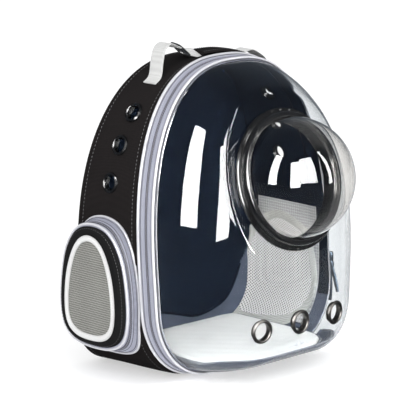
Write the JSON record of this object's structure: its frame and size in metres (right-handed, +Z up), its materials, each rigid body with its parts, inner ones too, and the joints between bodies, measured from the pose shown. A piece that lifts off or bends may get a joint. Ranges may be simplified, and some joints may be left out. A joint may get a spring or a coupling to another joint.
{
  "type": "pet carrier backpack",
  "caption": "Arch-shaped fabric backpack for a small pet, with a clear blister front, a clear dome window in a black ring, mesh side windows, top handle and shoulder straps.",
  "frame": {"origin": "centre of the footprint, on the floor", "axes": "+Z up; the clear front and its dome face -Y; +X is the viewer's right"},
  "size_m": [0.3772, 0.3438, 0.4261],
  "materials": {
    "black_cloth": "woven, slight sheen",
    "navy_lining": "smooth lining",
    "slate_cloth": "matt",
    "pad_fleece": "soft",
    "grey_binding": "woven tape",
    "clear_plastic": "clear gloss",
    "black_gloss": "moulded, semi gloss",
    "black_plastic": "satin",
    "gunmetal": "dark nickel",
    "zip_coil": "nylon coil",
    "silver_tape": "satin tape",
    "white_piping": "piping",
    "pale_binding": "woven binding",
    "mesh": "ribbed mesh",
    "pale_webbing": "webbing",
    "black_webbing": "webbing"
  },
  "bodies": {
    "root": {"back_panel": "navy_lining", "base_block": "slate_cloth", "blister_liner": "slate_cloth", "clear_blister": "clear_plastic", "clear_dome": "clear_plastic", "dome_ring": "black_gloss", "floor_pad": "pad_fleece", "floor_pad_binding": "grey_binding", "front_eyelet_1": "gunmetal", "front_eyelet_2": "gunmetal", "front_eyelet_3": "gunmetal", "gusset": "black_cloth", "handle_glide": "black_plastic", "handle_grip": "black_cloth", "handle_webbing_left": "pale_webbing", "handle_webbing_middle": "pale_webbing", "handle_webbing_right": "pale_webbing", "shoulder_strap_left": "black_cloth", "shoulder_strap_right": "black_cloth", "side_eyelet_1_left": "black_gloss", "side_eyelet_1_right": "black_gloss", "side_eyelet_2_left": "black_gloss", "side_eyelet_2_right": "black_gloss", "side_eyelet_3_left": "black_gloss", "side_eyelet_3_right": "black_gloss", "strap_adjuster_left": "black_plastic", "strap_adjuster_right": "black_plastic", "strap_webbing_left": "black_webbing", "strap_webbing_right": "black_webbing", "window_binding_left": "pale_binding", "window_binding_right": "pale_binding", "window_frame_left": "black_cloth", "window_frame_right": "black_cloth", "window_mesh_left": "mesh", "window_mesh_right": "mesh", "window_zip_wall_left": "silver_tape", "window_zip_wall_right": "silver_tape", "zip_band_coil": "zip_coil", "zip_band_front_piping": "white_piping", "zip_band_rear_piping": "white_piping", "zip_band_tape": "silver_tape", "zip_pull_1": "gunmetal", "zip_pull_2": "gunmetal", "zip_slider_1": "gunmetal", "zip_slider_2": "gunmetal"}
  },
  "joints": []
}
